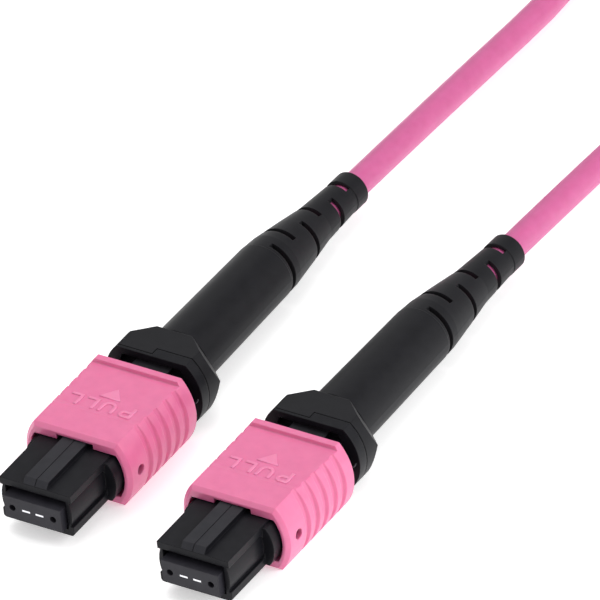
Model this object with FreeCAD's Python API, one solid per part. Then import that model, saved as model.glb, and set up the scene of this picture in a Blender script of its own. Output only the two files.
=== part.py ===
import FreeCAD, Part

import math
import os

from FreeCAD import Vector

# Multi-fibre patch cable: two push-pull plugs on one round cable, lying on a table.
# Units are millimetres. +Z is up, the plugs lie along Y with their noses towards -Y, and z = 0 is the table.
# Each plug is drawn about its own centre line: x across, y back from the ferrule's face, z up.

# How the two ends lie beside each other
END_SPACING = 19.3
END_STAGGER = 2.43

# Fits
SLIDE_GAP = 0.1
SEAT_GAP = 0.05

# Ferrule and fibres
FERRULE_WIDTH = 6.4
FERRULE_HEIGHT = 2.5
FERRULE_LENGTH = 8.0
FERRULE_DROP = 0.3
FERRULE_TRAVEL = 0.6
FERRULE_FLANGE_WIDTH = 6.8
FERRULE_FLANGE_HEIGHT = 3.0
FERRULE_FLANGE_LENGTH = 1.95
GUIDE_HOLE_RADIUS = 0.35
GUIDE_HOLE_PITCH = 4.6
RIBBON_WIDTH = 0.88
RIBBON_THICKNESS = 0.2
RIBBON_PITCH = 1.5
FERRULE_BOOT_WIDTH = 3.4
FERRULE_BOOT_HEIGHT = 1.3
FERRULE_BOOT_LENGTH = 4.5
FERRULE_BOOT_OVERHANG = 1.0
KEEPER_WIDTH = 6.6
KEEPER_HEIGHT = 3.5
KEEPER_LENGTH = 1.6
FERRULE_SPRING_RADIUS = 1.55
FERRULE_SPRING_WIRE = 0.36
FERRULE_SPRING_TURNS = 4.5
SPRING_STEPS = 8

# Inner housing
HOUSING_FRONT = 0.8
HOUSING_LENGTH = 17.8
HOUSING_WIDTH = 8.0
HOUSING_HEIGHT = 4.7
HOUSING_ROOF = 0.75
HOUSING_WALL = 0.45
HOUSING_EDGE_RADIUS = 0.35
HOOD_DEPTH = 2.5
HOOD_SIDE_GAP = 0.22
KEY_WIDTH = 2.65
KEY_HEIGHT = 0.54
KEY_SLOPE = 0.5
KEY_LENGTH = 10.3
PARTING_WIDTH = 0.08
PARTING_DEPTH = 0.06
CHANNEL_DEPTH = 0.3
CHANNEL_CREST_DEPTH = 0.06
CHANNEL_TOP = 1.55
CHANNEL_BOTTOM = -1.3
CHANNEL_ROUND = 0.6
SHOULDER_START = 6.9
SHOULDER_LENGTH = 1.5
SHOULDER_GAP = 0.2
SHOULDER_DROP = 0.2
HOOK_POCKET_LENGTH = 2.0
STOP_START = 12.2
STOP_LENGTH = 1.2
STOP_REACH = 0.75
STOP_HEIGHT = 2.0
LATCH_WINDOW_START = 16.6
LATCH_WINDOW_LENGTH = 1.2
LATCH_WINDOW_HEIGHT = 1.6

# Coupling sleeve
SLEEVE_FRONT = 8.1
SLEEVE_LENGTH = 12.1
SLEEVE_HEIGHT = 7.3
SLEEVE_SIDE_WALL = 0.7
SLEEVE_BULGE = 1.3
SLEEVE_BORE_BULGE = 0.7
SLEEVE_FRONT_BEVEL = 0.4
SLEEVE_REAR_BEVEL = 0.2
SLEEVE_TRAVEL = 1.4
NOTCH_WIDTH = 4.15
NOTCH_LENGTH = 3.2
PANEL_START = 3.7
PANEL_LENGTH = 7.5
PANEL_FRONT_DEPTH = 0.14
PANEL_FRONT_SLOPE = 0.6
PANEL_REAR_DEPTH = 0.4
PANEL_REAR_SLOPE = 0.12
GROOVE_COUNT = 5
GROOVE_SETBACK = 3.6
GROOVE_PITCH = 1.62
GROOVE_DEPTH = 0.3
GROOVE_END_DEPTH = 0.1
GROOVE_WIDTH = 0.95
GROOVE_FLOOR = 0.5
GROOVE_SWEEP = 100.0
SIGHT_HOLE_RADIUS = 0.55
SIGHT_HOLE_SETBACK = 1.9
LEDGE_LENGTH = 1.4
LEDGE_HEIGHT = 2.0

# Coupling springs
COUPLING_SPRING_RADIUS = 0.4
COUPLING_SPRING_WIRE = 0.2
COUPLING_SPRING_TURNS = 4.0
COUPLING_SPRING_GAP = 0.15

# Spring push: plug, neck, flange ring and crimp post
PUSH_PLUG_LENGTH = 2.6
NECK_HALF_WIDTH = 3.6
NECK_HALF_HEIGHT = 1.95
NECK_TAB_WIDTH = 4.0
FLANGE_CLEARANCE = 0.35
FLANGE_LENGTH = 1.2
FLANGE_LIP = 0.3
FLANGE_RIM = 0.7
FLANGE_POCKET = 0.6
POST_RADIUS = 1.85
POST_BORE_RADIUS = 1.4
POST_LENGTH = 8.7

# Crimp
YARN_THICKNESS = 0.2
YARN_LENGTH = 6.4
YARN_SETBACK = 1.2
CRIMP_WALL = 0.38
CRIMP_GRIP_LENGTH = 2.6

# Boot
COLLAR_LENGTH = 3.15
COLLAR_HEIGHT = 7.1
COLLAR_RIM = 0.15
COLLAR_BULGE = 1.5
COLLAR_CUT_LENGTH = 1.75
COLLAR_CUT_WIDTH = 1.95
COLLAR_CUT_SIDE = 1.2
LIP_THICKNESS = 0.45
JOINT_GAP = 0.1
BOOT_RADIUS = 3.35
BARREL_REAR_RADIUS = 3.15
BOOT_BARREL_LENGTH = 15.7
BOOT_TAPER_LENGTH = 14.2
BOOT_TIP_WALL = 0.43
BOOT_RING_WALL = 0.48
BOOT_RING_LENGTH = 2.1
BOOT_RING_EDGE = 0.3
BOOT_GROOVE_WIDTH = 0.3
BOOT_GROOVE_DEPTH = 0.25
BOOT_BORE_GAP = 0.1
TAIL_DROOP = 2.63
TAIL_ROOT = 0.3
TAIL_ROOT_STEP = 0.03
TAIL_BORE_GAP = 0.15
SLOT_WIDTHS = [0.6, 0.6, 0.6, 0.6, 0.75, 0.7]
SLOT_SETBACK = 0.55
SLOT_END_SETBACK = 0.4
RIGHT_SLOT_EDGE = 0.65
LEFT_SLOT_SHARE = 0.57

# Outline of the boot's tail: share of its length, and share of the way from its tip radius to its root radius
TAIL_PROFILE = [(0.0, 1.0), (0.125, 0.946), (0.396, 0.574), (0.627, 0.217), (1.0, 0.0)]

# Cable
CABLE_RADIUS = 1.4

# Coil of the spare length and its tie
COIL_CENTRE = (13.0, 130.0)
COIL_MEAN_RADIUS = 16.1
COIL_COLUMNS = 4
COIL_LAYERS = 2
TIE_WIDTH = 4.0
TIE_THICKNESS = 0.3
TIE_GAP = 0.1
TIE_ANGLE = 60.0

# The cable's route from each boot to the coil: x and y from the left plug's ferrule face, z from the table.
# Each run starts at the middle of the boot's end face and first goes straight on from the boot's tail.
FIRST_RUN = 15.5
LEFT_ROUTE = [
    (0.7, 103.0, 1.45),
    (-7.0, 119.0, 1.7),
    (-7.35, 128.5, 1.8),
]
RIGHT_ROUTE = [
    (20.0, 92.0, 1.5),
    (33.0, 114.0, 3.0),
    (33.4, 127.5, 4.6),
]
ARC_SHARE = 0.45

# Stations along a plug that follow from the sizes above
HOUSING_REAR = HOUSING_FRONT + HOUSING_LENGTH
HOUSING_TOP = HOUSING_HEIGHT / 2
SPRING_CHANNEL = 2 * COUPLING_SPRING_RADIUS + COUPLING_SPRING_WIRE + 2 * COUPLING_SPRING_GAP
SLEEVE_BORE_WIDTH = HOUSING_WIDTH + 2 * SPRING_CHANNEL
SLEEVE_BORE_FLAT = SLEEVE_BORE_WIDTH - 2 * SLEEVE_BORE_BULGE
SLEEVE_WIDTH = SLEEVE_BORE_WIDTH + 2 * SLEEVE_SIDE_WALL
SLEEVE_FLAT = SLEEVE_WIDTH - 2 * SLEEVE_BULGE
COLLAR_WIDTH = SLEEVE_BORE_WIDTH + 2 * COLLAR_RIM
COLLAR_FLAT = COLLAR_WIDTH - 2 * COLLAR_BULGE
FERRULE_FLANGE_FRONT = FERRULE_LENGTH - FERRULE_FLANGE_LENGTH
KEEPER_REAR = FERRULE_LENGTH + KEEPER_LENGTH
PUSH_FRONT = HOUSING_REAR - PUSH_PLUG_LENGTH
SLEEVE_REAR = SLEEVE_FRONT + SLEEVE_LENGTH
SLEEVE_BORE_HEIGHT = HOUSING_HEIGHT + 2 * SLIDE_GAP
LEDGE_FRONT = STOP_START + STOP_LENGTH + SLIDE_GAP
LEDGE_REAR = LEDGE_FRONT + LEDGE_LENGTH
FLANGE_FRONT = SLEEVE_REAR + SLEEVE_TRAVEL + FLANGE_CLEARANCE
FLANGE_FLOOR = FLANGE_FRONT + FLANGE_POCKET
FLANGE_REAR = FLANGE_FRONT + FLANGE_LENGTH
POST_REAR = FLANGE_REAR + POST_LENGTH
YARN_RADIUS = POST_RADIUS + YARN_THICKNESS
CRIMP_RADIUS = (YARN_RADIUS + CRIMP_WALL) / math.cos(math.pi / 6)
COLLAR_REAR = FLANGE_REAR + COLLAR_LENGTH
BARREL_REAR = COLLAR_REAR + BOOT_BARREL_LENGTH
TAPER_REAR = BARREL_REAR + BOOT_TAPER_LENGTH
BOOT_REAR = TAPER_REAR + BOOT_RING_LENGTH
TAIL_ROOT_RADIUS = BARREL_REAR_RADIUS - TAIL_ROOT_STEP
TAIL_TIP_RADIUS = CABLE_RADIUS + BOOT_TIP_WALL
BOOT_RING_RADIUS = CABLE_RADIUS + BOOT_RING_WALL
SLOT_PITCH = (BOOT_TAPER_LENGTH - SLOT_SETBACK - SLOT_END_SETBACK) / (len(SLOT_WIDTHS) - 1)
AXIS_HEIGHT = SLEEVE_HEIGHT / 2
LEFT_FERRULE_Y = (END_STAGGER - BOOT_REAR) / 2


def box(x0, x1, y0, y1, z0, z1):
    return Part.makeBox(x1 - x0, y1 - y0, z1 - z0, Vector(x0, y0, z0))


def centred_box(width, height, y0, y1, z_mid=0.0):
    return box(-width / 2, width / 2, y0, y1, z_mid - height / 2, z_mid + height / 2)


def bar_along_y(radius, y0, y1, x=0.0, z=0.0):
    return Part.makeCylinder(radius, y1 - y0, Vector(x, y0, z), Vector(0, 1, 0))


def turned(points):
    """Revolve a closed outline of (radius, y) points about the plug's centre line."""
    outline = [Vector(radius, y, 0) for radius, y in points]
    face = Part.Face(Part.makePolygon(outline + outline[:1]))
    return face.revolve(Vector(0, 0, 0), Vector(0, 1, 0), 360)


def bulged_wire(flat, width, height, y):
    """Outline across the plug: flat top and bottom, and sides that bulge out as arcs."""
    right = [Vector(flat / 2, y, height / 2), Vector(width / 2, y, 0), Vector(flat / 2, y, -height / 2)]
    left = [Vector(-p.x, p.y, p.z) for p in reversed(right)]
    edges = [
        Part.Arc(*right).toShape(),
        Part.LineSegment(right[2], left[0]).toShape(),
        Part.Arc(*left).toShape(),
        Part.LineSegment(left[2], right[0]).toShape(),
    ]
    return Part.Wire(edges)


def bulged_bar(flat, width, height, y0, y1):
    return Part.Face(bulged_wire(flat, width, height, y0)).extrude(Vector(0, y1 - y0, 0))


def side_arc(flat, width, height):
    """Radius of a bulged side, and the x of the arc's centre on the right."""
    bulge = (width - flat) / 2
    radius = ((height / 2) ** 2 + bulge ** 2) / (2 * bulge)
    return radius, width / 2 - radius


def both_sides(shape):
    return [shape, shape.mirror(Vector(0, 0, 0), Vector(1, 0, 0))]


def edges_where(shape, test):
    return [edge for edge in shape.Edges if test(edge.BoundBox)]


def flat_at(y):
    """Test for edges that lie in the plane across the plug at y."""
    return lambda bounds: abs(bounds.YMin - y) < 1e-4 and abs(bounds.YMax - y) < 1e-4


def coil_spring(radius, wire, turns, y0, y1):
    """Helical spring of square wire along the centre line, lofted through evenly turned sections."""
    half = wire / 2
    rise = y1 - y0 - wire
    corners = [(-half, -half), (half, -half), (half, half), (-half, half)]
    steps = round(turns * SPRING_STEPS)
    sections = []
    for step in range(steps + 1):
        share = step / steps
        points = [Vector(radius + across, y0 + half + share * rise + along, 0) for across, along in corners]
        section = Part.makePolygon(points + points[:1])
        section.rotate(Vector(0, 0, 0), Vector(0, 1, 0), 360 * turns * share)
        sections.append(section)
    return Part.makeLoft(sections, True, True)


def ribbon_bars(y0, y1):
    bars = []
    for side in (-1, 1):
        bar = centred_box(RIBBON_WIDTH, RIBBON_THICKNESS, y0, y1, -FERRULE_DROP)
        bar.translate(Vector(side * RIBBON_PITCH / 2, 0, 0))
        bars.append(bar)
    return bars


def guide_bars(radius, y0, y1):
    return [bar_along_y(radius, y0, y1, side * GUIDE_HOLE_PITCH / 2, -FERRULE_DROP) for side in (-1, 1)]


def mt_ferrule():
    body = centred_box(FERRULE_WIDTH, FERRULE_HEIGHT, 0, FERRULE_LENGTH, -FERRULE_DROP)
    flange = centred_box(
        FERRULE_FLANGE_WIDTH, FERRULE_FLANGE_HEIGHT, FERRULE_FLANGE_FRONT, FERRULE_LENGTH, -FERRULE_DROP
    )
    pocket_front = FERRULE_LENGTH + FERRULE_BOOT_OVERHANG - FERRULE_BOOT_LENGTH - SEAT_GAP
    pocket = centred_box(
        FERRULE_BOOT_WIDTH + 2 * SEAT_GAP,
        FERRULE_BOOT_HEIGHT + 2 * SEAT_GAP,
        pocket_front,
        FERRULE_LENGTH,
        -FERRULE_DROP,
    )
    holes = guide_bars(GUIDE_HOLE_RADIUS, 0, FERRULE_LENGTH)
    return body.fuse(flange).removeSplitter().cut([pocket] + holes + ribbon_bars(0, FERRULE_LENGTH))


def fibre_ribbons():
    return Part.makeCompound(ribbon_bars(0, POST_REAR - FERRULE_TRAVEL - SEAT_GAP))


def ferrule_boot():
    rear = FERRULE_LENGTH + FERRULE_BOOT_OVERHANG
    block = centred_box(
        FERRULE_BOOT_WIDTH, FERRULE_BOOT_HEIGHT, rear - FERRULE_BOOT_LENGTH, rear, -FERRULE_DROP
    )
    return block.cut(ribbon_bars(0, rear))


def pin_keeper():
    block = centred_box(KEEPER_WIDTH, KEEPER_HEIGHT, FERRULE_LENGTH, KEEPER_REAR)
    opening = centred_box(
        FERRULE_BOOT_WIDTH + 2 * SLIDE_GAP,
        FERRULE_BOOT_HEIGHT + 2 * SLIDE_GAP,
        FERRULE_LENGTH,
        KEEPER_REAR,
        -FERRULE_DROP,
    )
    return block.cut(opening)


def ferrule_spring():
    return coil_spring(
        FERRULE_SPRING_RADIUS,
        FERRULE_SPRING_WIRE,
        FERRULE_SPRING_TURNS,
        KEEPER_REAR + SEAT_GAP,
        PUSH_FRONT - SEAT_GAP,
    )


def housing_key():
    """Rib on top with a sloped front face."""
    front = HOUSING_FRONT + SEAT_GAP
    top = HOUSING_TOP + KEY_HEIGHT
    rear = front + KEY_LENGTH
    outline = [
        Vector(-KEY_WIDTH / 2, front, HOUSING_TOP),
        Vector(-KEY_WIDTH / 2, front + KEY_SLOPE, top),
        Vector(-KEY_WIDTH / 2, rear, top),
        Vector(-KEY_WIDTH / 2, rear, HOUSING_TOP),
    ]
    return Part.Face(Part.makePolygon(outline + outline[:1])).extrude(Vector(KEY_WIDTH, 0, 0))


def parting_line():
    """Cutter for the fine moulding line along the middle of the key."""
    front = HOUSING_FRONT + SEAT_GAP
    floor = HOUSING_TOP + KEY_HEIGHT - PARTING_DEPTH
    rear = front + KEY_LENGTH
    outline = [
        Vector(-PARTING_WIDTH / 2, HOUSING_FRONT, HOUSING_TOP),
        Vector(-PARTING_WIDTH / 2, front + PARTING_DEPTH, HOUSING_TOP),
        Vector(-PARTING_WIDTH / 2, front + KEY_SLOPE, floor),
        Vector(-PARTING_WIDTH / 2, rear, floor),
        Vector(-PARTING_WIDTH / 2, rear, floor + KEY_HEIGHT),
        Vector(-PARTING_WIDTH / 2, HOUSING_FRONT, floor + KEY_HEIGHT),
    ]
    return Part.Face(Part.makePolygon(outline + outline[:1])).extrude(Vector(PARTING_WIDTH, 0, 0))


def hook_recess(y0, y1):
    """Plain recess in the housing's right side for the mating hook."""
    inner = HOUSING_WIDTH / 2 - CHANNEL_DEPTH
    return box(inner, HOUSING_WIDTH / 2, y0, y1, CHANNEL_BOTTOM, CHANNEL_TOP)


def hook_channel():
    """Recess ahead of the shoulder, with a crowned floor and rounded corners at its closed end."""
    recess = hook_recess(HOUSING_FRONT, SHOULDER_START)
    corners = edges_where(
        recess, lambda b: b.XLength > CHANNEL_DEPTH / 2 and b.YMin > SHOULDER_START - 1e-4
    )
    recess = recess.makeFillet(CHANNEL_ROUND, corners)
    crown = bulged_bar(
        HOUSING_WIDTH - 2 * CHANNEL_DEPTH,
        HOUSING_WIDTH - 2 * CHANNEL_CREST_DEPTH,
        CHANNEL_TOP - CHANNEL_BOTTOM,
        HOUSING_FRONT,
        SHOULDER_START,
    )
    crown.translate(Vector(0, 0, (CHANNEL_TOP + CHANNEL_BOTTOM) / 2))
    return recess.cut(crown)


def inner_housing():
    body = centred_box(HOUSING_WIDTH, HOUSING_HEIGHT, HOUSING_FRONT, HOUSING_REAR)
    bottom_edges = edges_where(body, lambda b: b.YLength > HOUSING_LENGTH / 2 and b.ZMax < 0)
    body = body.makeFillet(HOUSING_EDGE_RADIUS, bottom_edges)
    shoulder_rear = SHOULDER_START + SHOULDER_LENGTH
    shoulder = bulged_bar(
        SLEEVE_BORE_FLAT - 2 * SHOULDER_GAP,
        SLEEVE_BORE_WIDTH - 2 * SHOULDER_GAP,
        HOUSING_HEIGHT - 2 * SHOULDER_DROP,
        SHOULDER_START,
        shoulder_rear,
    )
    stop = centred_box(HOUSING_WIDTH + 2 * STOP_REACH, STOP_HEIGHT, STOP_START, STOP_START + STOP_LENGTH)
    channels = both_sides(hook_channel())
    channels += both_sides(hook_recess(shoulder_rear, shoulder_rear + HOOK_POCKET_LENGTH))
    windows = centred_box(
        2 * HOUSING_WIDTH,
        LATCH_WINDOW_HEIGHT,
        LATCH_WINDOW_START,
        LATCH_WINDOW_START + LATCH_WINDOW_LENGTH,
    )
    throat_front = HOUSING_FRONT + HOOD_DEPTH
    throat_rear = FERRULE_FLANGE_FRONT - SEAT_GAP
    ferrule_floor = -FERRULE_DROP - FERRULE_HEIGHT / 2 - SLIDE_GAP
    hood_half = FERRULE_WIDTH / 2 + HOOD_SIDE_GAP
    hood = box(
        -hood_half, hood_half, HOUSING_FRONT, throat_front, ferrule_floor, HOUSING_TOP - HOUSING_ROOF
    )
    throat = centred_box(
        FERRULE_WIDTH + 2 * SLIDE_GAP,
        FERRULE_HEIGHT + 2 * SLIDE_GAP,
        throat_front,
        throat_rear,
        -FERRULE_DROP,
    )
    chamber = centred_box(
        FERRULE_FLANGE_WIDTH + 2 * SLIDE_GAP,
        HOUSING_HEIGHT - 2 * HOUSING_WALL,
        throat_rear,
        HOUSING_REAR,
    )
    solid = body.cut(channels).fuse([shoulder, stop, housing_key()]).removeSplitter()
    return solid.cut([hood, throat, chamber, windows, parting_line()])


def grip_grooves():
    """Cutters for the grooves round the sleeve's right side, wider at the mouth and shallow at their ends."""
    floor_flat = SLEEVE_FLAT - 2 * GROOVE_END_DEPTH
    floor_radius, arc_x = side_arc(floor_flat, SLEEVE_WIDTH - 2 * GROOVE_DEPTH, SLEEVE_HEIGHT)
    floor_x = arc_x + floor_radius
    mouth_x = floor_x + 2 * GROOVE_DEPTH
    half_floor = GROOVE_FLOOR / 2
    half_mouth = GROOVE_WIDTH - half_floor
    grooves = []
    for index in range(GROOVE_COUNT):
        y = SLEEVE_FRONT + GROOVE_SETBACK + index * GROOVE_PITCH
        centre = Vector(arc_x, y, 0)
        outline = [
            Vector(floor_x, y - half_floor, 0),
            Vector(mouth_x, y - half_mouth, 0),
            Vector(mouth_x, y + half_mouth, 0),
            Vector(floor_x, y + half_floor, 0),
        ]
        section = Part.Face(Part.makePolygon(outline + outline[:1]))
        section.rotate(centre, Vector(0, 1, 0), -GROOVE_SWEEP / 2)
        grooves.append(section.revolve(centre, Vector(0, 1, 0), GROOVE_SWEEP))
    return grooves


def sleeve_panel():
    """Recess across the top of the sleeve that deepens to a steep step for the finger at its rear."""
    top = SLEEVE_HEIGHT / 2
    front = SLEEVE_FRONT + PANEL_START
    rear = front + PANEL_LENGTH
    outline = [
        Vector(-SLEEVE_WIDTH, front, top),
        Vector(-SLEEVE_WIDTH, front + PANEL_FRONT_SLOPE, top - PANEL_FRONT_DEPTH),
        Vector(-SLEEVE_WIDTH, rear - PANEL_REAR_SLOPE, top - PANEL_REAR_DEPTH),
        Vector(-SLEEVE_WIDTH, rear, top),
    ]
    return Part.Face(Part.makePolygon(outline + outline[:1])).extrude(Vector(2 * SLEEVE_WIDTH, 0, 0))


def coupling_sleeve():
    body = bulged_bar(SLEEVE_FLAT, SLEEVE_WIDTH, SLEEVE_HEIGHT, SLEEVE_FRONT, SLEEVE_REAR)
    body = body.makeChamfer(SLEEVE_FRONT_BEVEL, edges_where(body, flat_at(SLEEVE_FRONT)))
    body = body.makeChamfer(SLEEVE_REAR_BEVEL, edges_where(body, flat_at(SLEEVE_REAR)))
    right_grooves = grip_grooves()
    left_grooves = [both_sides(groove)[1] for groove in right_grooves]
    bore = bulged_bar(SLEEVE_BORE_FLAT, SLEEVE_BORE_WIDTH, SLEEVE_BORE_HEIGHT, SLEEVE_FRONT, SLEEVE_REAR)
    ledge_inner = HOUSING_WIDTH / 2 + SLIDE_GAP
    ledge = box(
        ledge_inner, SLEEVE_BORE_WIDTH, LEDGE_FRONT, LEDGE_REAR, -LEDGE_HEIGHT / 2, LEDGE_HEIGHT / 2
    )
    notch_top = HOUSING_TOP + KEY_HEIGHT + SLIDE_GAP
    notch = box(
        -NOTCH_WIDTH / 2, NOTCH_WIDTH / 2, SLEEVE_FRONT, SLEEVE_FRONT + NOTCH_LENGTH, 0, notch_top
    )
    sight_y = SLEEVE_FRONT + SIGHT_HOLE_SETBACK
    sight_hole = Part.makeCylinder(
        SIGHT_HOLE_RADIUS, 2 * SLEEVE_WIDTH, Vector(-SLEEVE_WIDTH, sight_y, 0), Vector(1, 0, 0)
    )
    hollow = bore.cut(both_sides(ledge))
    return body.cut(right_grooves + left_grooves + [sleeve_panel()]).cut([hollow, notch, sight_hole])


def coupling_springs():
    """One spring on each side, between the sleeve's ledge and the flange's rim."""
    seat_x = (HOUSING_WIDTH + SLEEVE_BORE_WIDTH) / 4
    spring = coil_spring(
        COUPLING_SPRING_RADIUS,
        COUPLING_SPRING_WIRE,
        COUPLING_SPRING_TURNS,
        LEDGE_REAR + SEAT_GAP,
        FLANGE_FRONT - SEAT_GAP,
    )
    springs = []
    for side in (-1, 1):
        copy = spring.copy()
        copy.translate(Vector(side * seat_x, 0, 0))
        springs.append(copy)
    return Part.makeCompound(springs)


def spring_push():
    plug = centred_box(
        FERRULE_FLANGE_WIDTH,
        HOUSING_HEIGHT - 2 * HOUSING_WALL - 2 * SLIDE_GAP,
        PUSH_FRONT,
        HOUSING_REAR,
    )
    nubs = centred_box(
        HOUSING_WIDTH - 2 * SLIDE_GAP,
        LATCH_WINDOW_HEIGHT - 2 * SLIDE_GAP,
        LATCH_WINDOW_START + SLIDE_GAP,
        LATCH_WINDOW_START + LATCH_WINDOW_LENGTH - SLIDE_GAP,
    )
    neck = centred_box(2 * NECK_HALF_WIDTH, 2 * NECK_HALF_HEIGHT, HOUSING_REAR, FLANGE_FLOOR)
    tabs = centred_box(NECK_TAB_WIDTH, HOUSING_HEIGHT, HOUSING_REAR, FLANGE_FLOOR)
    flange = bulged_bar(COLLAR_FLAT, COLLAR_WIDTH, COLLAR_HEIGHT, FLANGE_FRONT, FLANGE_REAR)
    flange = flange.cut(collar_lip(0))
    pocket = bulged_bar(
        COLLAR_FLAT - 2 * FLANGE_RIM,
        HOUSING_WIDTH,
        COLLAR_HEIGHT - 2 * FLANGE_RIM,
        FLANGE_FRONT,
        FLANGE_FLOOR,
    )
    bore = bar_along_y(POST_BORE_RADIUS, PUSH_FRONT, POST_REAR)
    solid = flange.cut(pocket).fuse([plug, nubs, neck, tabs]).removeSplitter()
    post = bar_along_y(POST_RADIUS, FLANGE_REAR, POST_REAR)
    return solid.fuse(post).removeSplitter().cut(bore)


def collar_lip(gap):
    """Left half of the boot's collar that reaches forward over a step of the flange."""
    front = FLANGE_FRONT + FLANGE_LIP + gap
    rear = FLANGE_REAR + gap
    ring = bulged_bar(COLLAR_FLAT, COLLAR_WIDTH, COLLAR_HEIGHT, front, rear)
    core = bulged_bar(
        COLLAR_FLAT - 2 * LIP_THICKNESS,
        COLLAR_WIDTH - 2 * LIP_THICKNESS,
        COLLAR_HEIGHT - 2 * LIP_THICKNESS,
        front,
        rear,
    )
    left_half = box(-COLLAR_WIDTH, -gap, front, rear, -COLLAR_HEIGHT, COLLAR_HEIGHT)
    return ring.cut(core).common(left_half)


def hexagon_bar(radius, y0, y1):
    """Six-sided bar along the centre line that just holds a circle of the given radius."""
    corner_radius = radius / math.cos(math.pi / 6)
    corners = []
    for index in range(6):
        angle = index * math.pi / 3
        corners.append(Vector(corner_radius * math.cos(angle), y0, corner_radius * math.sin(angle)))
    return Part.Face(Part.makePolygon(corners + corners[:1])).extrude(Vector(0, y1 - y0, 0))


def strength_yarn():
    """Yarn spread over the crimp post, pressed to the crimp ring's six sides."""
    front = FLANGE_REAR + YARN_SETBACK
    rear = front + YARN_LENGTH
    return hexagon_bar(YARN_RADIUS - SEAT_GAP, front, rear).cut(bar_along_y(POST_RADIUS, front, rear))


def crimp_ring():
    """Ring pressed to six sides over the yarn, with a round grip on the jacket behind it."""
    front = FLANGE_REAR + YARN_SETBACK
    rear = POST_REAR + CRIMP_GRIP_LENGTH
    grip = CABLE_RADIUS + SEAT_GAP
    ring = hexagon_bar(YARN_RADIUS + CRIMP_WALL, front, POST_REAR + CRIMP_WALL)
    ring = ring.fuse(bar_along_y(grip + CRIMP_WALL, POST_REAR, rear))
    return ring.cut([hexagon_bar(YARN_RADIUS, front, POST_REAR), bar_along_y(grip, POST_REAR, rear)])


def tail_centre(y):
    """Centre of the hanging tail at the station y of the straight boot."""
    reach = y - BARREL_REAR
    droop = math.radians(TAIL_DROOP)
    return Vector(0, BARREL_REAR + reach * math.cos(droop), -reach * math.sin(droop))


def tail_stations():
    """Outline of the straight tail as (y, radius), from its root inside the barrel to the end ring."""
    stations = [(BARREL_REAR - TAIL_ROOT, TAIL_ROOT_RADIUS)]
    for length_share, radius_share in TAIL_PROFILE:
        radius = TAIL_TIP_RADIUS + radius_share * (TAIL_ROOT_RADIUS - TAIL_TIP_RADIUS)
        stations.append((BARREL_REAR + length_share * BOOT_TAPER_LENGTH, radius))
    stations += [
        (TAPER_REAR, BOOT_RING_RADIUS),
        (BOOT_REAR - BOOT_RING_EDGE, BOOT_RING_RADIUS),
        (BOOT_REAR, BOOT_RING_RADIUS - BOOT_RING_EDGE),
    ]
    return stations


def tail_radius(y):
    stations = tail_stations()
    for (y0, radius0), (y1, radius1) in zip(stations, stations[1:]):
        if y0 <= y <= y1 and y1 > y0:
            return radius0 + (radius1 - radius0) * (y - y0) / (y1 - y0)


def tail_ring(y0, y1):
    """Hollow slice of the straight tail between two stations."""
    bore = CABLE_RADIUS + TAIL_BORE_GAP
    outline = [(bore, y0), (tail_radius(y0), y0)]
    outline += [(radius, y) for y, radius in tail_stations() if y0 < y < y1]
    outline += [(tail_radius(y1), y1), (bore, y1)]
    return turned(outline)


def tail_slices():
    """Rings of the straight tail, and the webs that join them on the left and the right by turns."""
    reach = 2 * BOOT_RADIUS
    slices = []
    ring_front = BARREL_REAR - TAIL_ROOT
    for index, width in enumerate(SLOT_WIDTHS):
        middle = BARREL_REAR + SLOT_SETBACK + index * SLOT_PITCH
        slot_front = middle - width / 2
        slot_rear = middle + width / 2
        if index % 2 == 0:
            slot = box(RIGHT_SLOT_EDGE, reach, slot_front, slot_rear, -reach, reach)
        else:
            slot_edge = LEFT_SLOT_SHARE * tail_radius(middle)
            slot = box(-reach, slot_edge, slot_front, slot_rear, -reach, reach)
        slices.append(tail_ring(ring_front, slot_front))
        slices.append(tail_ring(slot_front, slot_rear).cut(slot))
        ring_front = slot_rear
    slices.append(tail_ring(ring_front, BOOT_REAR))
    return slices


def collar_cuts():
    """Cutters for the flat cuts at the collar's four rear corners."""
    top = COLLAR_HEIGHT / 2
    front_corner = Vector(COLLAR_FLAT / 2, COLLAR_REAR - COLLAR_CUT_LENGTH, top)
    rear_corner = Vector(COLLAR_FLAT / 2 - COLLAR_CUT_WIDTH, COLLAR_REAR, top)
    side_corner = Vector(COLLAR_WIDTH / 2 - COLLAR_CUT_SIDE, COLLAR_REAR, 0)
    overshoot = 3
    along = (front_corner - rear_corner) * overshoot
    up = (rear_corner - side_corner) * overshoot
    corners = [side_corner - along, side_corner + along, side_corner + along + up, side_corner - along + up]
    face = Part.Face(Part.makePolygon(corners + corners[:1]))
    right_top = face.extrude(Vector(COLLAR_WIDTH, COLLAR_WIDTH, 0))
    tops = both_sides(right_top)
    return tops + [cut.mirror(Vector(0, 0, 0), Vector(0, 0, 1)) for cut in tops]


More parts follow.
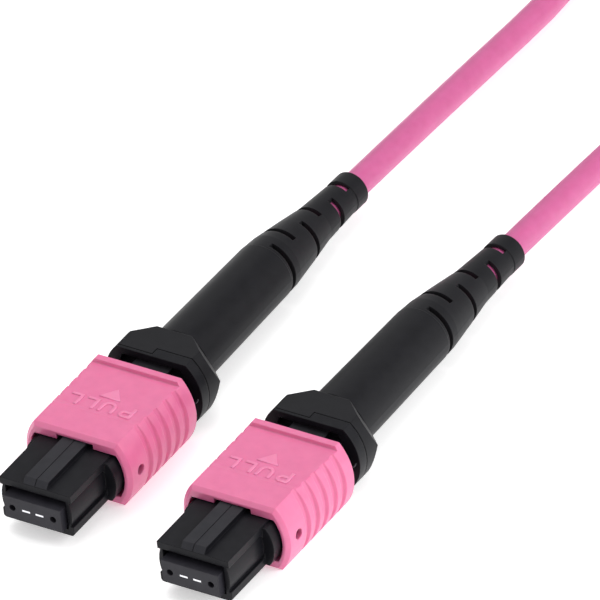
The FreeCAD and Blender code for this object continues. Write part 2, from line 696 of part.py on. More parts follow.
def boot():
    collar = bulged_bar(COLLAR_FLAT, COLLAR_WIDTH, COLLAR_HEIGHT, FLANGE_REAR + JOINT_GAP, COLLAR_REAR)
    collar = collar.cut(collar_cuts()).fuse(collar_lip(JOINT_GAP)).removeSplitter()
    groove_floor = BOOT_RADIUS - BOOT_GROOVE_DEPTH
    groove_rear = COLLAR_REAR + BOOT_GROOVE_WIDTH
    cable_bore = CABLE_RADIUS + SLIDE_GAP
    crimp_bore = CRIMP_RADIUS + BOOT_BORE_GAP
    crimp_rear = POST_REAR + CRIMP_GRIP_LENGTH + SLIDE_GAP
    barrel = turned(
        [
            (crimp_bore, COLLAR_REAR),
            (groove_floor, COLLAR_REAR),
            (groove_floor, groove_rear),
            (BOOT_RADIUS, groove_rear),
            (BARREL_REAR_RADIUS, BARREL_REAR),
            (cable_bore, BARREL_REAR),
            (cable_bore, crimp_rear),
            (crimp_bore, crimp_rear),
        ]
    )
    collar = collar.cut(bar_along_y(crimp_bore, FLANGE_REAR, COLLAR_REAR))
    slices = tail_slices()
    tail = slices[0].fuse(slices[1:])
    tail.rotate(Vector(0, BARREL_REAR, 0), Vector(1, 0, 0), -TAIL_DROOP)
    return collar.fuse(barrel).fuse(tail)


def smooth_path(points):
    """Straight runs joined by tangent arcs as large as the runs allow, and the arcs' radii."""
    edges = []
    radii = []
    start = points[0]
    for before, corner, after in zip(points, points[1:], points[2:]):
        back = before - corner
        ahead = after - corner
        half_turn = (math.pi - back.getAngle(ahead)) / 2
        reach = ARC_SHARE * min(back.Length, ahead.Length)
        radii.append(reach / math.tan(half_turn))
        back.normalize()
        ahead.normalize()
        arc_start = corner + back * reach
        arc_end = corner + ahead * reach
        inward = back + ahead
        inward.normalize()
        to_centre = radii[-1] / math.cos(half_turn)
        arc_middle = corner + inward * (to_centre - radii[-1])
        edges.append(Part.LineSegment(start, arc_start).toShape())
        edges.append(Part.Arc(arc_start, arc_middle, arc_end).toShape())
        start = arc_end
    edges.append(Part.LineSegment(start, points[-1]).toShape())
    return Part.Wire(edges), radii


def cable_tube(name, points):
    """Plain tube along one uncoiled stretch of the cable."""
    path, radii = smooth_path(points)
    section = Part.Wire(Part.makeCircle(CABLE_RADIUS, points[0], points[1] - points[0]))
    tube = path.makePipeShell([section], True, False)
    expected = math.pi * CABLE_RADIUS ** 2 * path.Length
    print(name, "radii", [round(radius, 1) for radius in radii])
    print(name, "length", round(path.Length, 1), "volume", round(tube.Volume, 2), "of", round(expected, 2))
    return tube


def cable_end():
    """Cable from the crimp to the boot's end face."""
    crimp_end = Vector(0, POST_REAR + SEAT_GAP, 0)
    return cable_tube("cable_end", [crimp_end, tail_centre(BARREL_REAR), tail_centre(BOOT_REAR)])


def cable_run(name, origin, route):
    """Cable from the end of one boot to the coil."""
    boot_end = origin + tail_centre(BOOT_REAR)
    onward = tail_centre(BOOT_REAR) - tail_centre(BARREL_REAR)
    onward.normalize()
    points = [boot_end, boot_end + onward * FIRST_RUN]
    points += [Vector(x, y, z) + layout_origin() for x, y, z in route]
    return cable_tube(name, points)


def layout_origin():
    """The left plug's ferrule face on the table, where the cable's route is measured from."""
    return Vector(-END_SPACING / 2, LEFT_FERRULE_Y, 0)


def coil_section():
    """Inner and outer radius, bottom and top of the coil."""
    half_width = COIL_COLUMNS * CABLE_RADIUS
    bottom = TIE_THICKNESS + TIE_GAP
    top = bottom + 2 * COIL_LAYERS * CABLE_RADIUS
    return COIL_MEAN_RADIUS - half_width, COIL_MEAN_RADIUS + half_width, bottom, top


def coil_origin():
    return layout_origin() + Vector(COIL_CENTRE[0], COIL_CENTRE[1], 0)


def cable_coil():
    inner, outer, bottom, top = coil_section()
    base = coil_origin() + Vector(0, 0, bottom)
    ring = Part.makeCylinder(outer, top - bottom, base)
    return ring.cut(Part.makeCylinder(inner, top - bottom, base))


def coil_tie():
    """Flat band round the coil's turns."""
    inner, outer, bottom, top = coil_section()
    sag = outer - math.sqrt(outer ** 2 - (TIE_WIDTH / 2) ** 2)
    opening = box(
        inner - TIE_GAP - sag, outer + TIE_GAP, -TIE_WIDTH / 2, TIE_WIDTH / 2, bottom - TIE_GAP, top + TIE_GAP
    )
    bounds = opening.BoundBox
    band = box(
        bounds.XMin - TIE_THICKNESS,
        bounds.XMax + TIE_THICKNESS,
        bounds.YMin,
        bounds.YMax,
        bounds.ZMin - TIE_THICKNESS,
        bounds.ZMax + TIE_THICKNESS,
    )
    band = band.cut(opening)
    band.rotate(Vector(0, 0, 0), Vector(0, 0, 1), TIE_ANGLE)
    band.translate(coil_origin())
    return band


def plug_pieces():
    return {
        "coupling_sleeve": coupling_sleeve(),
        "coupling_springs": coupling_springs(),
        "inner_housing": inner_housing(),
        "mt_ferrule": mt_ferrule(),
        "fibre_ribbons": fibre_ribbons(),
        "ferrule_boot": ferrule_boot(),
        "pin_keeper": pin_keeper(),
        "ferrule_spring": ferrule_spring(),
        "spring_push": spring_push(),
        "strength_yarn": strength_yarn(),
        "crimp_ring": crimp_ring(),
        "boot": boot(),
        "cable_end": cable_end(),
    }


def main():
    os.makedirs("parts", exist_ok=True)
    plug_origins = {
        "left": Vector(-END_SPACING / 2, LEFT_FERRULE_Y, AXIS_HEIGHT),
        "right": Vector(END_SPACING / 2, LEFT_FERRULE_Y - END_STAGGER, AXIS_HEIGHT),
    }
    routes = {"left": LEFT_ROUTE, "right": RIGHT_ROUTE}
    nodes = {}
    pieces = plug_pieces()
    for side, origin in plug_origins.items():
        for name, shape in pieces.items():
            copy = shape.copy()
            copy.translate(origin)
            nodes[side + "_" + name] = copy
        run_name = side + "_cable_run"
        nodes[run_name] = cable_run(run_name, origin, routes[side])
    nodes["cable_coil"] = cable_coil()
    nodes["coil_tie"] = coil_tie()
    for name, shape in nodes.items():
        shape.exportStep(os.path.join("parts", name + ".step"))
        print(name, "solids", len(shape.Solids), "volume", round(shape.Volume, 3), "valid", shape.isValid())


main()
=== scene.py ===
"""Looks of the multi-fibre patch cable: two pink push-pull plugs on one round pink cable."""
import math

import bmesh
import bpy
from mathutils import Matrix, Quaternion, Vector


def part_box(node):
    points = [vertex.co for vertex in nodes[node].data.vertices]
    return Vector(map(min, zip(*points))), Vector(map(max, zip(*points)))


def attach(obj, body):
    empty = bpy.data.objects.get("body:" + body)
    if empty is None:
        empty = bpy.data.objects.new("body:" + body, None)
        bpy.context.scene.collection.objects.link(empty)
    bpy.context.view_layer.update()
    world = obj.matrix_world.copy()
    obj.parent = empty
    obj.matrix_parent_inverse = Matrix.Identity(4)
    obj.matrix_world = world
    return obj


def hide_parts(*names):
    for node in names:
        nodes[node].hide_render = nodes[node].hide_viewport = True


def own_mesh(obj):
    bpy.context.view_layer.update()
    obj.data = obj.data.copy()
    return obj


MM = 0.001
SIDES = ("left", "right")
ROOT_BODY = "plugs_and_cable"

# Camera: nearly parallel lines of sight, tilted a little about its own axis
AZIMUTH = 35.8
ELEVATION = 36.0
ROLL = -6.8
LENS = 1500.0
SENSOR = 36.0
CLIP_NEAR = 0.01
CLIP_FAR = 20.0
FRAME_WIDTH = 57.7 * MM
AIM_FROM_LEFT_PLUG = Vector((5.216, 40.075, -0.445)) * MM

# Lights: place and side length in metres and power in watts, all aimed at the frame's origin
LIGHTS = {
    "right": ((0.5, 0.1, 0.3), 0.4, 2.5),
    "front": ((-0.25, -0.45, 0.35), 0.4, 0.4),
    "top": ((-0.15, 0.1, 0.6), 0.5, 1.7),
}
LIGHT_AIM = Vector((0.0, 0.0, 0.0))
WHITE = (1.0, 1.0, 1.0, 1.0)
SKY_STRENGTH = 0.6
FLOOR_HALF_SIZE = 2.0
FLOOR_DARK = (0.92, 0.92, 0.92, 1.0)
FLOOR_LIGHT = (0.94, 0.94, 0.94, 1.0)
FLOOR_GRAIN = 20 * MM
FLOOR_GLOW = 0.4

# Surfaces: noise, gloss and light scattered inside coloured plastic
GRAIN = 0.12 * MM
CLOUD_SCALE = 0.1
CLOUD_DETAIL = 3.0
SHADE_RANGE = (0.3, 0.7)
SPECK_DETAIL = 4.0
GLOSS_SPREAD = 0.05
EDGE_SAMPLES = 6
SCATTER_REACH = (1.0, 0.35, 0.6)
SCATTER_SCALE = 0.4 * MM
SLEEVE_SCATTER = 0.5
JACKET_SCATTER = 0.4

# Cable: the route of each end from its boot, then the coil of the spare length.
# Route points are x and y from the left plug's ferrule face and z from the table, in millimetres.
CABLE_RADIUS = 1.4 * MM
CABLE_ORDER = 3
CABLE_STEPS = 6
CABLE_ROUND_STEPS = 6
BOOT_DROOP = math.radians(2.63)
FIRST_RUN = 15.5 * MM
LEFT_ROUTE = [(1.0, 103.0, 1.45), (-7.0, 119.0, 1.7)]
RIGHT_ROUTE = [(20.2, 92.0, 1.5), (33.0, 114.0, 4.2)]
COIL_CENTRE = (13.0, 130.0)
COIL_RADII = (20.3, 17.5, 14.7, 11.9)
COIL_BOTTOM = 1.8
COIL_TOP = 4.6
COIL_STEPS = 20

# Where on its turn the cable crosses to the next place in the coil, as shares of a turn
CROSSING_SHARE = 0.3
BOTTOM_CROSSING = 0.7
CLIMB = 0.4
TOP_CROSSING = 0.1

# Fabric strap round the coil, in millimetres. Its path lies in the coil's section: u runs out from the middle
# of the section and z up. The tip's pairs are the distance from the end and the share of the full width.
STRAP_ANGLE = math.radians(60.0)
STRAP_WIDTH = 4.0
STRAP_THICKNESS = 0.3
STRAP_EDGE = 0.08
STRAP_CLEARANCE = 0.05
STRAP_START = 2.6
STRAP_RISE = 1.4
STRAP_END = -3.4
STRAP_TIP = [(1.1, 1.0), (0.55, 0.95), (0.2, 0.82), (0.0, 0.6)]
CORNER_STEPS = 6
UPWARD = 90.0
QUARTER_TURN = 90.0

# Raised word and arrow on the sleeve, in millimetres from the plug's centre line and ferrule face
WORD_HEIGHT = 1.7
WORD_STROKE = 0.34
WORD_START = Vector((3.5, 14.1, 3.445))
WORD_RELIEF = 0.035
WORD_EDGE = 0.06
WORD_EDGE_STEPS = 2
PANEL_TILT = math.radians(2.2)
ARROW = [(2.3, -0.45), (4.7, -0.45), (3.5, -2.1)]
ARC_STEPS = 10

# Letters: where each starts, and the sizes of their bowls, bends and feet
P_START = 0.0
P_BOWL_START = 0.95
P_BOWL_REACH = 0.5
P_BOWL_RADIUS = 0.53
U_START = 2.02
U_HALF_WIDTH = 0.82
U_BEND = 0.8
L_STARTS = (4.14, 5.95)
L_WIDTH = 1.3

# Faces on top of the key on the housing and the tab on the neck, which get lighter materials as painted
# light, in millimetres from the plug's centre line
PARTING_WIDTH = 0.1
KEY_PAINTED_HALF_WIDTH = 1.3
KEY_PAINTED_HEIGHTS = (2.4, 3.0)
TAB_PAINTED_HALF_WIDTH = 1.9
TAB_PAINTED_HEIGHTS = (2.3, 2.4)

# Springs: round wire in place of the square one
SPRING_SIDES = 8
SPRING_TURN_STEPS = 20
COUPLING_WIRE = 0.2 * MM
COUPLING_TURNS = 7
FERRULE_WIRE = 0.36 * MM
FERRULE_TURNS = 5

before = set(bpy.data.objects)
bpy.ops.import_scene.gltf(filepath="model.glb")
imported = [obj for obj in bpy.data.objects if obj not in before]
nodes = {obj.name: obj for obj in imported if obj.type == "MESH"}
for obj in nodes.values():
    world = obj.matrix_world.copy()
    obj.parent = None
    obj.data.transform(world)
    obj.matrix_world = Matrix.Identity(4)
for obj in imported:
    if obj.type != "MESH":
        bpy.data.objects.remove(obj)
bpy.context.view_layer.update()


def plug_origin(side):
    """Middle of the ferrule's face across the plug, at the height of the plug's centre line."""
    face_low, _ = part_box(side + "_mt_ferrule")
    sleeve_low, sleeve_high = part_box(side + "_coupling_sleeve")
    middle = (sleeve_low + sleeve_high) / 2
    return Vector((middle.x, face_low.y, middle.z))


LEFT_ORIGIN = plug_origin("left")
TABLE_ORIGIN = Vector((LEFT_ORIGIN.x, LEFT_ORIGIN.y, 0.0))


def new_object(name, data):
    made = bpy.data.objects.new(name, data)
    bpy.context.scene.collection.objects.link(made)
    return made


def join_rings(mesh, rings):
    """Skin over a row of rings of points, closed at both ends."""
    count = len(rings[0])
    for first, second in zip(rings, rings[1:]):
        for index in range(count):
            after = (index + 1) % count
            mesh.faces.new((first[index], first[after], second[after], second[index]))
    mesh.faces.new(rings[0][::-1])
    mesh.faces.new(rings[-1])


def mesh_object(name, mesh, material):
    bmesh.ops.recalc_face_normals(mesh, faces=mesh.faces)
    data = bpy.data.meshes.new(name)
    mesh.to_mesh(data)
    mesh.free()
    data.shade_smooth()
    data.materials.append(material)
    return new_object(name, data)


def linear(red, green, blue):
    """Scene-linear colour with full alpha from screen values of 0 to 255."""
    shades = []
    for value in (red, green, blue):
        share = value / 255
        shades.append(share / 12.92 if share <= 0.04045 else ((share + 0.055) / 1.055) ** 2.4)
    return (*shades, 1.0)


def surface(
    name, dark, light, roughness, bump, edge=0.0, metallic=0.0, specular=0.5, sheen=0.0, grain=GRAIN
):
    """Moulded surface: two close shades mixed by soft noise, fine grain, uneven gloss and rounded edges.

    grain is the size of the surface's grain, bump its height and edge the radius of its edges, in metres.
    """
    material = bpy.data.materials.new(name)
    material.use_nodes = True
    tree = material.node_tree
    shader = tree.nodes["Principled BSDF"]
    shader.inputs["Metallic"].default_value = metallic
    shader.inputs["Specular IOR Level"].default_value = specular
    shader.inputs["Sheen Weight"].default_value = sheen
    place = tree.nodes.new("ShaderNodeTexCoord")
    cloud = tree.nodes.new("ShaderNodeTexNoise")
    cloud.inputs["Scale"].default_value = CLOUD_SCALE / grain
    cloud.inputs["Detail"].default_value = CLOUD_DETAIL
    ramp = tree.nodes.new("ShaderNodeValToRGB")
    for stop, position, shade in zip(ramp.color_ramp.elements, SHADE_RANGE, (dark, light)):
        stop.position = position
        stop.color = shade
    gloss = tree.nodes.new("ShaderNodeMapRange")
    gloss.inputs["To Min"].default_value = roughness - GLOSS_SPREAD
    gloss.inputs["To Max"].default_value = roughness + GLOSS_SPREAD
    speck = tree.nodes.new("ShaderNodeTexNoise")
    speck.inputs["Scale"].default_value = 1.0 / grain
    speck.inputs["Detail"].default_value = SPECK_DETAIL
    relief = tree.nodes.new("ShaderNodeBump")
    relief.inputs["Strength"].default_value = 1.0
    relief.inputs["Distance"].default_value = bump
    for texture in (cloud, speck):
        tree.links.new(place.outputs["Object"], texture.inputs["Vector"])
    tree.links.new(cloud.outputs["Fac"], ramp.inputs["Fac"])
    tree.links.new(ramp.outputs["Color"], shader.inputs["Base Color"])
    tree.links.new(cloud.outputs["Fac"], gloss.inputs["Value"])
    tree.links.new(gloss.outputs["Result"], shader.inputs["Roughness"])
    tree.links.new(speck.outputs["Fac"], relief.inputs["Height"])
    tree.links.new(relief.outputs["Normal"], shader.inputs["Normal"])
    if edge:
        rounded = tree.nodes.new("ShaderNodeBevel")
        rounded.samples = EDGE_SAMPLES
        rounded.inputs["Radius"].default_value = edge
        tree.links.new(rounded.outputs["Normal"], relief.inputs["Normal"])
    return material


def glow_inside(material, share):
    """Let some light scatter inside a coloured plastic, red the furthest, so that its shadows stay warm."""
    shader = material.node_tree.nodes["Principled BSDF"]
    shader.inputs["Subsurface Weight"].default_value = share
    shader.inputs["Subsurface Radius"].default_value = SCATTER_REACH
    shader.inputs["Subsurface Scale"].default_value = SCATTER_SCALE


PINK = surface(
    "sleeve_pink", linear(209, 105, 147), linear(215, 110, 152),
    roughness=0.36, bump=0.002 * MM, edge=0.18 * MM, specular=0.6,
)
# Painted highlight: the raised word and arrow get a lighter pink than the sleeve, standing in for the light
# their rounded edges catch.
RAISED_PAINTED_HIGHLIGHT = surface(
    "raised_pink_painted_highlight", linear(219, 120, 159), linear(223, 124, 163),
    roughness=0.33, bump=0.001 * MM, edge=0.08 * MM, specular=0.7,
)
JACKET = surface(
    "jacket_pink", linear(186, 86, 136), linear(192, 91, 142),
    roughness=0.4, bump=0.002 * MM,
)
BLACK = surface(
    "housing_black", linear(18, 18, 22), linear(23, 23, 27),
    roughness=0.38, bump=0.001 * MM, edge=0.12 * MM, specular=0.12,
)
# Painted light: a lighter black for the top faces of the housing's key, so that the key's top reads brighter
# than the roof beside it.
KEY_TOP_PAINTED_LIGHT = surface(
    "key_top_painted_light", linear(39, 39, 43), linear(44, 44, 48),
    roughness=0.45, bump=0.001 * MM, edge=0.08 * MM, specular=0.12,
)
# Painted light: a lighter grey for the top of the neck's tab, standing in for light that does not reach into
# the shaded gap behind the sleeve.
TAB_PAINTED_LIGHT = surface(
    "tab_painted_light", linear(44, 44, 48), linear(50, 50, 54),
    roughness=0.45, bump=0.001 * MM, edge=0.08 * MM, specular=0.12,
)
RUBBER = surface(
    "boot_rubber", linear(14, 14, 18), linear(19, 19, 23),
    roughness=0.5, bump=0.003 * MM, edge=0.12 * MM, specular=0.12, sheen=0.06,
)
FERRULE = surface(
    "ferrule_resin", linear(35, 34, 40), linear(42, 41, 47),
    roughness=0.45, bump=0.001 * MM, edge=0.05 * MM, specular=0.2,
)
FIBRE = surface(
    "fibre_ends", linear(236, 236, 246), linear(252, 252, 255),
    roughness=0.2, bump=0.0005 * MM,
)
SOFT_INNER = surface(
    "inner_rubber", linear(30, 30, 32), linear(40, 40, 42),
    roughness=0.6, bump=0.003 * MM,
)
STEEL = surface(
    "spring_steel", linear(70, 70, 75), linear(90, 90, 95),
    roughness=0.3, bump=0.001 * MM, metallic=1.0,
)
CRIMP = surface(
    "crimp_metal", linear(180, 180, 184), linear(205, 205, 208),
    roughness=0.35, bump=0.001 * MM, edge=0.05 * MM, metallic=1.0,
)
YARN = surface(
    "yarn", linear(205, 170, 70), linear(228, 196, 96),
    roughness=0.8, bump=0.02 * MM,
)
FABRIC = surface(
    "tie_fabric", linear(20, 20, 22), linear(34, 34, 36),
    roughness=0.85, bump=0.05 * MM, specular=0.3, sheen=0.2, grain=GRAIN * 2,
)
glow_inside(PINK, SLEEVE_SCATTER)
glow_inside(RAISED_PAINTED_HIGHLIGHT, SLEEVE_SCATTER)
glow_inside(JACKET, JACKET_SCATTER)
NODE_MATERIALS = {
    "coupling_sleeve": PINK,
    "inner_housing": BLACK,
    "mt_ferrule": FERRULE,
    "fibre_ribbons": FIBRE,
    "ferrule_boot": SOFT_INNER,
    "pin_keeper": BLACK,
    "spring_push": BLACK,
    "strength_yarn": YARN,
    "crimp_ring": CRIMP,
    "boot": RUBBER,
    "cable_end": JACKET,
}


def dress(node, material):
    mesh = nodes[node].data
    mesh.materials.clear()
    mesh.materials.append(material)


def paint_light_on_top(node, material, origin, half_width, heights):
    """Give the faces on top of a piece, beside its parting line, a lighter material of their own: painted
    light on the top faces.
    """
    mesh = nodes[node].data
    mesh.materials.append(material)
    for face in mesh.polygons:
        centre = (face.center - origin) / MM
        if PARTING_WIDTH < abs(centre.x) < half_width and heights[0] < centre.z < heights[1]:
            face.material_index = 1


def dress_plug(side):
    for piece_name, material in NODE_MATERIALS.items():
        dress(side + "_" + piece_name, material)
    origin = plug_origin(side)
    # Painted light: lighter top faces on the key and on the neck's tab.
    paint_light_on_top(side + "_inner_housing", KEY_TOP_PAINTED_LIGHT, origin, KEY_PAINTED_HALF_WIDTH, KEY_PAINTED_HEIGHTS)
    paint_light_on_top(side + "_spring_push", TAB_PAINTED_LIGHT, origin, TAB_PAINTED_HALF_WIDTH, TAB_PAINTED_HEIGHTS)


def route_point(x, y, z):
    return TABLE_ORIGIN + Vector((x, y, z)) * MM


def coil_place(radius, angle, z):
    """Point at a radius and angle about the coil's centre."""
    return route_point(
        COIL_CENTRE[0] + radius * math.cos(angle),
        COIL_CENTRE[1] + radius * math.sin(angle),
        z,
    )


def coil_points():
    """Turns of the coil: the bottom layer winds in from the left, the top layer winds out to the right.

    Each turn keeps its radius for most of the way round and crosses to the next place on its own stretch.
    The bottom layer crosses last, the climb comes before it and the top layer crosses first, so that no turn
    runs through another. The last turn leaves on the right, halfway round, once it has crossed.
    """
    inward = [(radius, COIL_BOTTOM, BOTTOM_CROSSING) for radius in COIL_RADII]
    inward[-1] = (COIL_RADII[-1], COIL_BOTTOM, CLIMB)
    outward = [(radius, COIL_TOP, TOP_CROSSING) for radius in reversed(COIL_RADII)]
    places = inward + outward
    step_angle = 2 * math.pi / COIL_STEPS
    outset = 1 / math.cos(step_angle / 2)
    points = []
    for (radius, z, crossing), next_place in zip(places, places[1:]):
        next_radius, next_z, _ = next_place
        steps = COIL_STEPS // 2 + 1 if next_place is places[-1] else COIL_STEPS
        for step in range(steps):
            share = step / COIL_STEPS
            along = min(1.0, max(0.0, (share - crossing) / CROSSING_SHARE))
            cross = (1 - math.cos(math.pi * along)) / 2
            turn_radius = (radius + (next_radius - radius) * cross) * outset
            angle = math.pi - 2 * math.pi * share
            points.append(coil_place(turn_radius, angle, z + (next_z - z) * cross))
    return points


def run_points(side, route):
    """Control points from the end of a boot's hanging tail to the coil."""
    low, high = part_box(side + "_cable_end")
    across = CABLE_RADIUS * math.sin(BOOT_DROOP)
    down = CABLE_RADIUS * math.cos(BOOT_DROOP)
    boot_end = Vector(((low.x + high.x) / 2, high.y - across, low.z + down))
    onward = Vector((0.0, math.cos(BOOT_DROOP), -math.sin(BOOT_DROOP)))
    return [boot_end, boot_end + onward * FIRST_RUN] + [route_point(*point) for point in route]


def strap_stations():
    """Stations along the strap: u, z, outward angle in degrees, distance outward and share of the width."""
    half_u = (COIL_RADII[0] - COIL_RADII[-1]) / 2
    half_z = (COIL_TOP - COIL_BOTTOM) / 2
    lower = CABLE_RADIUS / MM + STRAP_CLEARANCE + STRAP_THICKNESS / 2
    upper = lower + STRAP_THICKNESS
    corners = [(-half_u, half_z), (-half_u, -half_z), (half_u, -half_z), (half_u, half_z)]
    stations = [(STRAP_START, half_z, UPWARD, lower, 1.0)]
    for corner, (u, z) in enumerate(corners):
        for step in range(CORNER_STEPS + 1):
            angle = UPWARD + QUARTER_TURN * (corner + step / CORNER_STEPS)
            stations.append((u, z, angle, lower, 1.0))
    stations.append((STRAP_START + STRAP_RISE, half_z, UPWARD, lower, 1.0))
    stations.append((STRAP_START, half_z, UPWARD, upper, 1.0))
    for before, width_share in STRAP_TIP:
        stations.append((STRAP_END + before, half_z, UPWARD, upper, width_share))
    return stations


def strap_section(half_width):
    """Cross-section of the strap with softened edges: across and out."""
    half = STRAP_THICKNESS / 2
    inset = half_width - STRAP_EDGE
    low = half - STRAP_EDGE
    return [
        (-half_width, -low), (-inset, -half), (inset, -half), (half_width, -low),
        (half_width, low), (inset, half), (-inset, half), (-half_width, low),
    ]


def coil_strap():
    """Fabric strap once round the coil's turns and on over its own start, with a rounded tip."""
    middle_radius = (COIL_RADII[0] + COIL_RADII[-1]) / 2
    middle_z = (COIL_BOTTOM + COIL_TOP) / 2
    mesh = bmesh.new()
    rings = []
    for u, z, angle, offset, width_share in strap_stations():
        out_u = math.cos(math.radians(angle))
        out_z = math.sin(math.radians(angle))
        ring = []
        for v, height in strap_section(width_share * STRAP_WIDTH / 2):
            radius = middle_radius + u + out_u * (offset + height)
            place = coil_place(radius, STRAP_ANGLE + v / radius, middle_z + z + out_z * (offset + height))
            ring.append(mesh.verts.new(place))
        rings.append(ring)
    join_rings(mesh, rings)
    made = mesh_object("coil_strap", mesh, FABRIC)
    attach(made, ROOT_BODY)
    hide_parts("coil_tie")
    return made


def cable():
    left_points = run_points("left", LEFT_ROUTE)
    right_points = run_points("right", RIGHT_ROUTE)
    points = left_points + coil_points() + right_points[::-1]
    data = bpy.data.curves.new("cable", "CURVE")
    data.dimensions = "3D"
    spline = data.splines.new("NURBS")
    spline.points.add(len(points) - 1)
    for target, point in zip(spline.points, points):
        target.co = (*point, 1.0)
    spline.order_u = CABLE_ORDER
    spline.use_endpoint_u = True
    data.resolution_u = CABLE_STEPS
    data.bevel_depth = CABLE_RADIUS
    data.bevel_resolution = CABLE_ROUND_STEPS
    data.use_fill_caps = True
    data.materials.append(JACKET)
    made = new_object("cable", data)
    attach(made, ROOT_BODY)
    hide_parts("left_cable_run", "right_cable_run", "cable_coil")
    coil_strap()


def arc(centre, radius_x, radius_y, start, end):
    """Points along an ellipse arc, angles in degrees."""
    points = []
    for step in range(ARC_STEPS + 1):
        angle = math.radians(start + (end - start) * step / ARC_STEPS)
        points.append((centre[0] + radius_x * math.cos(angle), centre[1] + radius_y * math.sin(angle)))
    return points


def letter_p(left):
    """Outline and hole of the letter, from its lower left corner."""
    height, stroke, bowl = WORD_HEIGHT, WORD_STROKE, P_BOWL_RADIUS
    turn = (left + P_BOWL_START, height - bowl)
    outer = [(left, 0), (left, height)] + arc(turn, P_BOWL_REACH, bowl, 90, -90)
    outer += [(left + stroke, height - 2 * bowl), (left + stroke, 0)]
    hole = arc(turn, P_BOWL_REACH - stroke, bowl - stroke, -90, 90)
    hole += [(left + stroke, height - stroke), (left + stroke, height - 2 * bowl + stroke)]
    return [outer, hole]


def letter_u(left):
    height, stroke, half = WORD_HEIGHT, WORD_STROKE, U_HALF_WIDTH
    turn = (left + half, U_BEND)
    outline = [(left, height)] + arc(turn, half, U_BEND, 180, 360) + [(left + 2 * half, height)]
    outline += [(left + 2 * half - stroke, height)]
    outline += arc(turn, half - stroke, U_BEND - stroke, 360, 180) + [(left + stroke, height)]
    return [outline]


def letter_l(left):
    height, stroke, width = WORD_HEIGHT, WORD_STROKE, L_WIDTH
    corners = [(0, height), (0, 0), (width, 0), (width, stroke), (stroke, stroke), (stroke, height)]
    return [[(left + x, y) for x, y in corners]]


def marking(side):
    """Raised word and arrow that say which way the sleeve is pulled, read from the cable's end, in a lighter
    pink that is a painted highlight.
    """
    outlines = letter_p(P_START) + letter_u(U_START)
    for start in L_STARTS:
        outlines += letter_l(start)
    outlines.append(ARROW)
    data = bpy.data.curves.new(side + "_marking", "CURVE")
    data.dimensions = "2D"
    data.fill_mode = "BOTH"
    data.extrude = WORD_RELIEF
    data.bevel_depth = WORD_EDGE
    data.bevel_resolution = WORD_EDGE_STEPS
    data.offset = -WORD_EDGE
    for outline in outlines:
        spline = data.splines.new("POLY")
        spline.points.add(len(outline) - 1)
        for target, (x, y) in zip(spline.points, outline):
            target.co = (x, y, 0.0, 1.0)
        spline.use_cyclic_u = True
    drawn = new_object(side + "_outlines", data)
    mesh = bpy.data.meshes.new_from_object(drawn)
    bpy.data.objects.remove(drawn)
    place = Matrix.Translation(plug_origin(side) + WORD_START * MM)
    turn = Matrix.Rotation(math.pi, 4, "Z") @ Matrix.Rotation(PANEL_TILT, 4, "X")
    mesh.transform(place @ turn @ Matrix.Scale(MM, 4))
    mesh.materials.clear()
    mesh.materials.append(RAISED_PAINTED_HIGHLIGHT)
    made = new_object(side + "_marking", mesh)
    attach(made, side + "_sleeve")


def wire_helix(mesh, centre_x, centre_z, y0, y1, radius, wire, turns):
    """Round wire wound about a line along y, with its end turns inside y0 and y1."""
    steps = turns * SPRING_TURN_STEPS
    rise = y1 - y0 - wire
    forward = Vector((0, 1, 0))
    rings = []
    for step in range(steps + 1):
        angle = 2 * math.pi * step / SPRING_TURN_STEPS
        outward = Vector((math.cos(angle), 0, math.sin(angle)))
        middle = Vector((centre_x, y0 + wire / 2 + rise * step / steps, centre_z)) + outward * radius
        ring = []
        for side_index in range(SPRING_SIDES):
            round_angle = 2 * math.pi * side_index / SPRING_SIDES
            offset = outward * math.cos(round_angle) + forward * math.sin(round_angle)
            ring.append(mesh.verts.new(middle + offset * wire / 2))
        rings.append(ring)
    join_rings(mesh, rings)


def spring_piece(name, node, centres, outer, wire, turns):
    """Springs in a node's box, wound from round wire."""
    low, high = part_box(node)
    middle_z = (low.z + high.z) / 2
    mesh = bmesh.new()
    for centre_x in centres:
        wire_helix(mesh, centre_x, middle_z, low.y, high.y, outer - wire / 2, wire, turns)
    made = mesh_object(name, mesh, STEEL)
    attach(made, ROOT_BODY)
    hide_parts(node)
    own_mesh(made)


def springs(side):
    node = side + "_coupling_springs"
    low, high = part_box(node)
    outer = (high.z - low.z) / 2
    centres = (low.x + outer, high.x - outer)
    name = side + "_coupling_wire"
    spring_piece(name, node, centres, outer, COUPLING_WIRE, COUPLING_TURNS)
    node = side + "_ferrule_spring"
    low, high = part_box(node)
    outer = (high.z - low.z) / 2
    centres = ((low.x + high.x) / 2,)
    name = side + "_ferrule_wire"
    spring_piece(name, node, centres, outer, FERRULE_WIRE, FERRULE_TURNS)


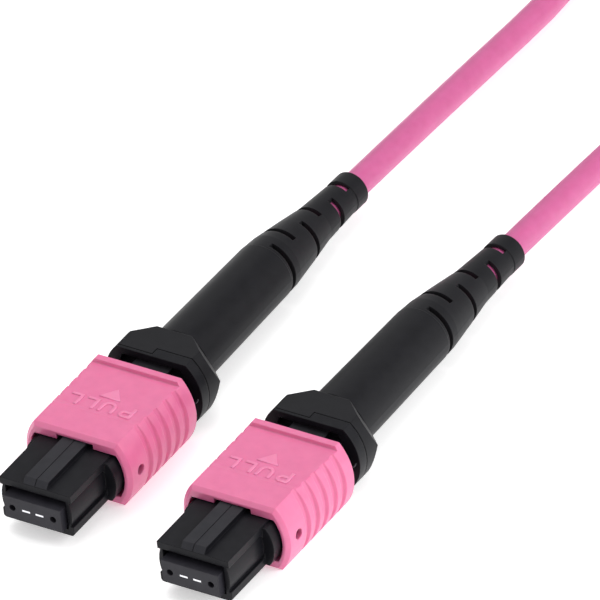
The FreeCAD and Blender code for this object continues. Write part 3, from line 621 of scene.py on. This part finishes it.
def camera():
    azimuth = math.radians(AZIMUTH)
    elevation = math.radians(ELEVATION)
    back = Vector(
        (
            math.sin(azimuth) * math.cos(elevation),
            -math.cos(azimuth) * math.cos(elevation),
            math.sin(elevation),
        )
    )
    data = bpy.data.cameras.new("camera")
    data.lens = LENS
    data.sensor_width = SENSOR
    data.clip_start = CLIP_NEAR
    data.clip_end = CLIP_FAR
    made = new_object("camera", data)
    made.rotation_mode = "QUATERNION"
    level = (-back).to_track_quat("-Z", "Y")
    made.rotation_quaternion = level @ Quaternion((0, 0, 1), math.radians(ROLL))
    made.location = LEFT_ORIGIN + AIM_FROM_LEFT_PLUG + back * (FRAME_WIDTH * LENS / SENSOR)
    bpy.context.scene.camera = made


def area_light(name, place, size, power):
    data = bpy.data.lights.new(name, "AREA")
    data.energy = power
    data.shape = "RECTANGLE"
    data.size = size
    data.size_y = size
    made = new_object(name, data)
    made.location = place
    made.rotation_mode = "QUATERNION"
    made.rotation_quaternion = (LIGHT_AIM - Vector(place)).to_track_quat("-Z", "Y")


def pale_floor():
    """White floor with a weak glow of its own, so that shadows on it stay soft."""
    mesh = bmesh.new()
    bmesh.ops.create_grid(mesh, x_segments=1, y_segments=1, size=FLOOR_HALF_SIZE)
    data = bpy.data.meshes.new("floor")
    mesh.to_mesh(data)
    mesh.free()
    white = surface(
        "floor_white", FLOOR_DARK, FLOOR_LIGHT, roughness=0.8, bump=0.0, specular=0.0, grain=FLOOR_GRAIN
    )
    shader = white.node_tree.nodes["Principled BSDF"]
    shader.inputs["Emission Color"].default_value = WHITE
    shader.inputs["Emission Strength"].default_value = FLOOR_GLOW
    data.materials.append(white)
    new_object("floor", data)


def studio():
    world = bpy.data.worlds.new("studio")
    bpy.context.scene.world = world
    world.use_nodes = True
    background = world.node_tree.nodes["Background"]
    background.inputs["Color"].default_value = WHITE
    background.inputs["Strength"].default_value = SKY_STRENGTH
    bpy.context.scene.view_settings.view_transform = "Standard"
    for name, (place, size, power) in LIGHTS.items():
        area_light(name, place, size, power)
    pale_floor()


for side in SIDES:
    dress_plug(side)
cable()
for side in SIDES:
    marking(side)
    springs(side)
camera()
studio()
